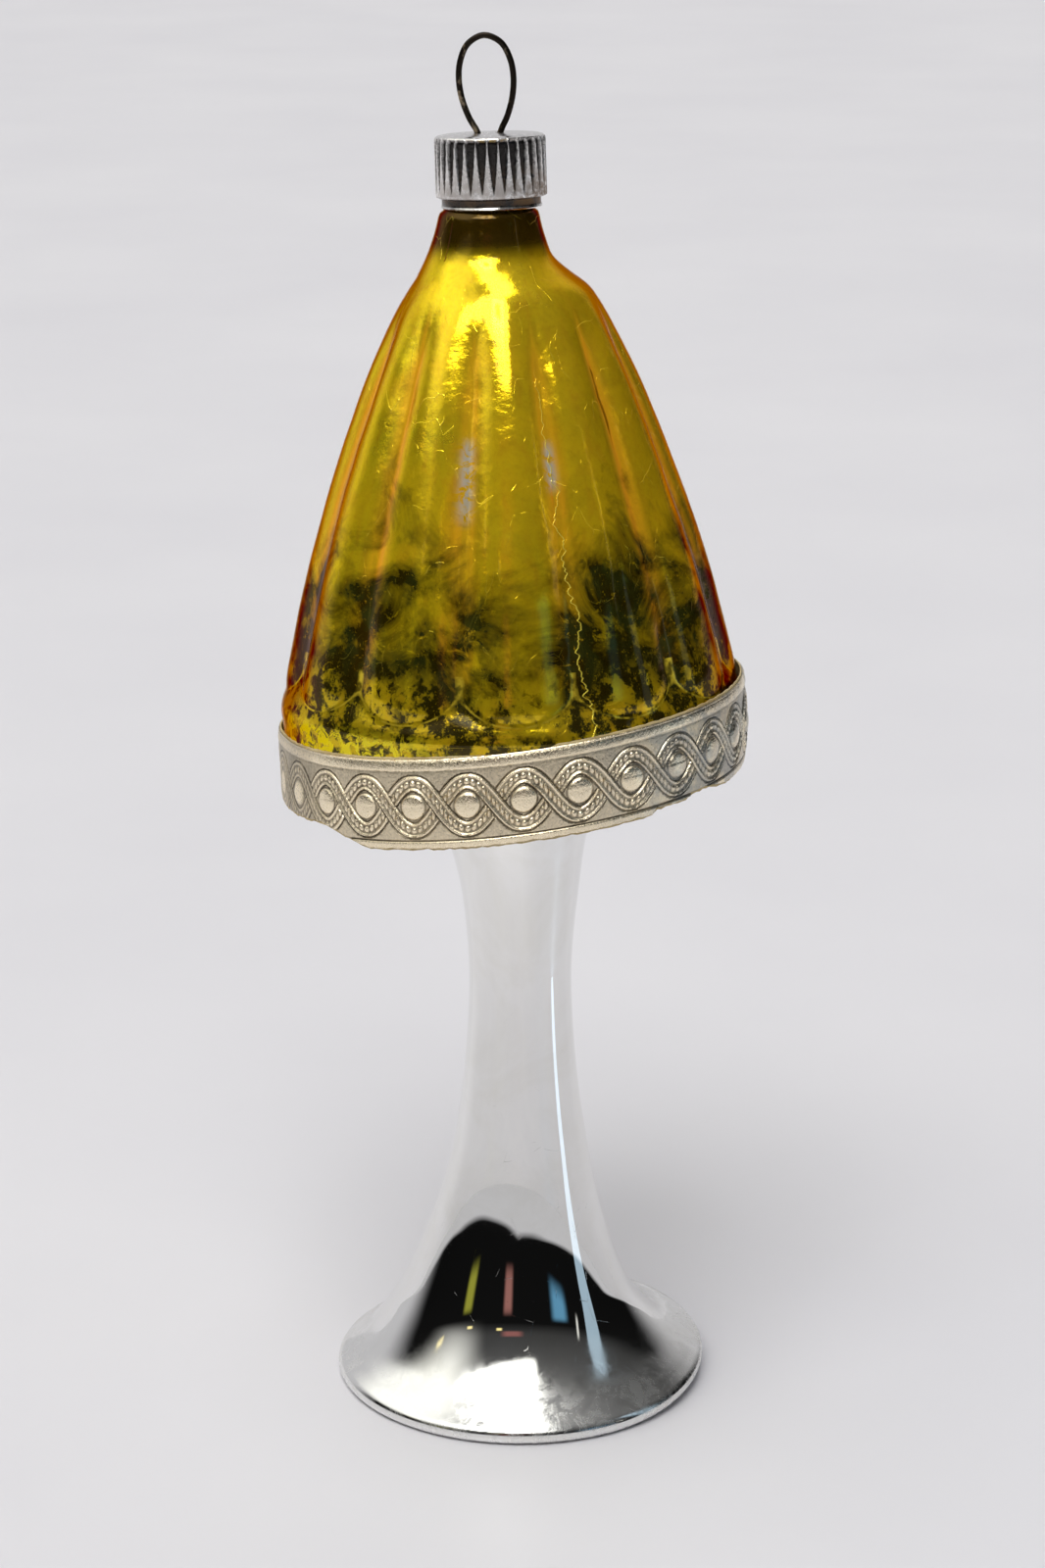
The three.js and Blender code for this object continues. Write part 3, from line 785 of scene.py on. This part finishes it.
# ---- Cap ------------------------------------------------------------------------------------------
def cap():
    """The outside from the middle of the top to the hem, then the inside back up."""
    collar = COLLAR_RADIUS - 0.02
    outside = np.vstack(
        [
            [(0.05, 0), (3.6, -0.04)],
            spline([(5.0, -0.1), (5.55, -0.22), (5.8, -0.45), (CAP_RADIUS, -0.85)], 14),
            [(CAP_RADIUS, -CRIMP_END), (CAP_RADIUS, -6.3)],
            arc(CAP_RADIUS - 0.15, -6.4, 0.15, 0, -80, 5),
            [(collar, -6.7), (collar, -7.3)],
            arc(collar, -7.56, 0.14, 80, -80, 8),
        ]
    )
    inside = [
        (collar - PLATE + 0.11, -7.65),
        (collar - PLATE + 0.11, -6.5),
        (CAP_RADIUS - PLATE, -6.2),
        (CAP_RADIUS - PLATE, -0.9),
        (5.3, -0.42),
        (4.6, -0.3),
        (0.05, -PLATE - 0.02),
    ]
    profile = np.vstack([even(outside, 0.16), even(inside, 0.4)])
    columns = CRIMPS * 16
    turn = np.linspace(0, 2 * math.pi, columns, endpoint=False)
    r = profile[:, 0, None] + 0 * turn
    z = profile[:, 1, None] + 0 * turn
    phase = np.abs((turn * CRIMPS / 2 / math.pi + 0.06 * np.sin(turn * 5)) % 1 - 0.5) * 2
    down = np.clip(-z / CRIMP_END, 0, 1)
    width = 0.95 * (1 - down**1.7) + 0.01
    groove = np.clip((1 - phase / width) * 3.2, 0, 1)
    groove = groove * smooth(r, 5.2, 5.5) * smooth(-z, 0.3, 0.7) * (1 - smooth(down, 0.93, 1))
    r = r - CRIMP_DEPTH * groove * (1 - 0.6 * down)
    dents = 0.03 * np.sin(turn * 3 + 1) + 0.02 * np.sin(turn * 7)
    r = r + dents * smooth(r, 5, 5.6) - 0.03
    points = np.stack([r * np.cos(turn), r * np.sin(turn), z], axis=-1)
    count = len(profile)
    faces = grid_faces(count, columns, False)[:, ::-1].tolist()
    faces.append(list(range(columns)))
    faces.append(list(range((count - 1) * columns, count * columns))[::-1])
    right = smooth(turn[None, :] * 0 + np.cos(turn - 0.5), -0.6, 0.9)
    # The collar in the skirt's shadow, painted dark as shade.
    painted_shade_under_skirt = smooth(-z, 6.4, 6.6) * (1 - smooth(-z, 7.3, 7.42)) + 0 * turn
    attributes = {
        "groove": np.maximum(groove, painted_shade_under_skirt),
        "hem": smooth(-z, 2.2, 6.2) * (0.35 + 0.65 * right) * (1 - smooth(-z, 7.3, 7.42)),
    }
    piece = make("crimped_metal_cap", points, faces, cap_frame, attributes, 40)
    drill_wire_holes(piece)
    return dress(piece, "cap", "crimped_cap", cap_finish())


def drill_wire_holes(piece):
    """Two round holes with clean edges through the cap's flat top."""
    sides = 24
    turn = np.linspace(0, 2 * math.pi, sides, endpoint=False)
    ring = np.stack([WIRE_HOLE * np.cos(turn), WIRE_HOLE * np.sin(turn), 0 * turn], axis=-1)
    for side in (-1, 1):
        middle = np.array([side * WIRE_HOLE_X, 0, 0])
        points = np.concatenate([ring + middle - (0, 0, 1), ring + middle + (0, 0, 1)])
        faces = grid_faces(2, sides, False).tolist()
        faces += [list(range(sides))[::-1], list(range(sides, 2 * sides))]
        drill = make("drill", points, faces, cap_frame)
        cut = piece.modifiers.new("hole", "BOOLEAN")
        cut.operation, cut.object, cut.solver = "DIFFERENCE", drill, "EXACT"
        graph = bpy.context.evaluated_depsgraph_get()
        drilled = bpy.data.meshes.new_from_object(piece.evaluated_get(graph))
        piece.modifiers.clear()
        piece.data = drilled
        bpy.data.objects.remove(drill)


# ---- Hanger ---------------------------------------------------------------------------------------
def hanger():
    """The wire, bent into a loop above the plate and two legs below it."""
    half = [
        (2.6, -13),
        (2.9, -10.4),
        (2.8, -7.6),
        (2.2, -4),
        (1.3, -1.6),
        (1, -0.75),
        (1.3, 0.3),
        (2.02, 1.7),
        (2.62, 3.6),
        (2.84, 5.6),
        (2.58, 7.5),
        (1.7, 9.2),
    ]
    left = [(-x, 0, z) for x, z in half]
    right = [(x, 0, z) for x, z in half][::-1]
    line = even(spline([*left, (0, 0, 9.995), *right], 500), 0.14)
    along = np.gradient(line, axis=0)
    along /= np.linalg.norm(along, axis=1)[:, None]
    side = np.array([0, 1, 0])
    normal = np.cross(side, along)
    sides = 16
    turn = np.linspace(0, 2 * math.pi, sides, endpoint=False)
    around = np.cos(turn)[None, :, None] * normal[:, None] + np.sin(turn)[None, :, None] * side
    points = line[:, None] + WIRE / 2 * around
    count = len(line)
    faces = grid_faces(count, sides, False).tolist()
    faces.append(list(range(sides))[::-1])
    faces.append(list(range((count - 1) * sides, count * sides)))
    frame_of_wire = cap_frame @ Matrix.Rotation(-WIRE_TIP, 4, "Y")
    piece = make("hanger_wire_loop", points, faces, frame_of_wire, None, 60)
    return dress(piece, "hanger", "hanger_wire", wire_finish())


# ---- Stage: floor, light and camera ---------------------------------------------------------------
def stage():
    """The table top, a broad disc."""
    rings = np.array([0.5, 60, 200, 500, 1500, FLOOR_REACH])
    turn = np.linspace(0, 2 * math.pi, 64, endpoint=False)
    points = np.stack(
        [rings[:, None] * np.cos(turn), rings[:, None] * np.sin(turn), 0 * rings[:, None] + 0 * turn],
        axis=-1,
    )
    faces = grid_faces(len(rings), 64, False)[:, ::-1].tolist() + [list(range(64))]
    floor = make("floor", points, faces, Matrix())
    floor.data.materials.append(floor_finish())


def studio_light():
    """Light by direction: pale walls behind and low down, a dark room in front, and a panel above it."""
    world = bpy.data.worlds.new("studio")
    bpy.context.scene.world = world
    world.use_nodes = True
    graph = Graph(world.node_tree)
    towards = graph.add("ShaderNodeTexCoord").outputs["Generated"]
    x, y, z = graph.add("ShaderNodeSeparateXYZ", {0: towards}).outputs
    turn = graph.sum("ARCTAN2", x, graph.sum("MULTIPLY", y, -1.0))
    turn = graph.sum("MULTIPLY", turn, 180 / math.pi)
    rise = graph.sum("MULTIPLY", graph.sum("ARCSINE", z, 0.0), 180 / math.pi)

    def between(value, low, high, soft):
        up = graph.mask(value, low - soft, low + soft, kind="SMOOTHSTEP")
        return graph.sum("MULTIPLY", up, graph.mask(value, high - soft, high + soft, 1, 0, "SMOOTHSTEP"))

    ramp = graph.add("ShaderNodeValToRGB", {0: graph.sum("DIVIDE", rise, 90.0)})
    elements = ramp.color_ramp.elements
    while len(elements) < len(DARK_ROOM):
        elements.new(0.5)
    for element, (degrees, level) in zip(elements, DARK_ROOM):
        element.position, element.color = degrees / 90, (level, level, level, 1)

    # The pale wall ends at about 8 degrees in front, and a little lower at the sides.
    above = graph.sum("ADD", rise, graph.sum("DIVIDE", graph.sum("ABSOLUTE", turn, 0.0), 17.0))
    room = graph.mix(graph.mask(above, 7.5, 8.4), WALL, ramp.outputs[0])
    light = graph.mix(between(turn, -112, 140, 14), WALL, room)
    for middle, level, wide, high, colour in ROOM_THINGS:
        across_it = between(turn, middle - wide, middle + wide, wide / 2)
        up_it = between(rise, level - high, level + high, high / 2)
        light = graph.mix(graph.sum("MULTIPLY", across_it, up_it), light, colour)

    # The panel and the ceiling over the ornament, with a brighter middle round a dull one.
    panel = graph.sum("MULTIPLY", between(turn, -52, 18, 4), between(rise, 45, 91, 2))
    panel = graph.sum("MAXIMUM", panel, graph.mask(rise, 78, 82))
    light = graph.mix(panel, light, (4.6, 4.6, 4.4))
    core = graph.sum("MULTIPLY", between(turn, -30, 6, 3), between(rise, 49, 74, 2))
    light = graph.mix(core, light, (8.5, 8.5, 8.3))
    gap = graph.sum("MULTIPLY", between(turn, -19, -5, 3), between(rise, 56, 67, 3))
    light = graph.mix(gap, light, (1.2, 1.2, 1.2))
    graph.tree.links.new(light, graph.tree.nodes["Background"].inputs["Color"])


def overhead_light():
    """A broad soft light over the table. It isn't seen in the glass."""
    light = bpy.data.lights.new("overhead", "AREA")
    light.shape, light.size = "DISK", OVERHEAD_SIZE
    light.energy = OVERHEAD_POWER
    lamp = bpy.data.objects.new("overhead", light)
    lamp.location = OVERHEAD_PLACE
    lamp.rotation_euler = (-lamp.location).to_track_quat("-Z", "Y").to_euler()
    lamp.visible_camera = False
    lamp.visible_glossy = False
    bpy.context.scene.collection.objects.link(lamp)


def strip_light():
    """A narrow cool strip at the right, which draws the streak down the stem."""
    light = bpy.data.lights.new("strip", "AREA")
    light.shape, (light.size, light.size_y) = "ELLIPSE", STRIP_LAMP_SIZE
    light.energy, light.color = STRIP_LAMP_POWER, (0.62, 0.83, 1.0)
    lamp = bpy.data.objects.new("strip", light)
    lamp.location = STRIP_LAMP_PLACE
    aim = Vector((0, 0, lamp.location.z)) - lamp.location
    lamp.rotation_euler = aim.to_track_quat("-Z", "Y").to_euler()
    lamp.visible_camera = False
    bpy.context.scene.collection.objects.link(lamp)


def camera():
    """A long lens a little above the ornament, looking down at it."""
    lens = bpy.data.cameras.new("camera")
    lens.lens, lens.sensor_width, lens.sensor_fit = FOCAL_LENGTH, 36, "AUTO"
    lens.clip_start, lens.clip_end = 0.01, 30
    eye = bpy.data.objects.new("camera", lens)
    eye.location = CAMERA_PLACE
    eye.rotation_euler = (math.radians(90 - CAMERA_TILT), 0, 0)
    bpy.context.scene.collection.objects.link(eye)
    bpy.context.scene.camera = eye


stem_and_foot()
shade()
trim()
cap()
hanger()
stage()
studio_light()
overhead_light()
strip_light()
camera()
bpy.context.scene.view_settings.view_transform = "Standard"
bpy.context.scene.view_settings.exposure = 0.0
